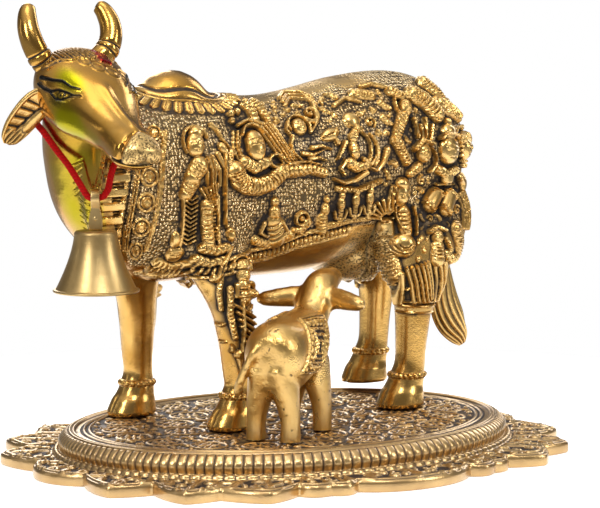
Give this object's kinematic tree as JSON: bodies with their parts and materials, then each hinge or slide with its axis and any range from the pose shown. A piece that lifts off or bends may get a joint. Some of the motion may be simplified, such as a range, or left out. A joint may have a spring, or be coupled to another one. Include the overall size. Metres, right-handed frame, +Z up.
{
  "type": "kamdhenu cow statue",
  "caption": "Cast metal humped cow suckling her calf on an oval petalled base, her flanks covered in relief figures, a bell hung from a red cord round her neck.",
  "frame": {"origin": "middle of the oval base's flat underside", "axes": "+X from the cow's head end to her tail, +Y to her right side, +Z up; her head is turned towards -Y"},
  "size_m": [0.2555, 0.208, 0.1987],
  "materials": {
    "base_metal": "antiqued gold plate, dark in the carving and rubbed bright on the edges",
    "cow_metal": "polished gold plate with a dark antiqued ground in the carving",
    "bell_brass": "satin, turned",
    "red_thread": "twisted cotton thread"
  },
  "bodies": {
    "root": {"base": "base_metal", "cow": "cow_metal", "calf": "cow_metal", "bell": "bell_brass", "bell_hook": "bell_brass", "neck_cord": "red_thread"}
  },
  "joints": []
}
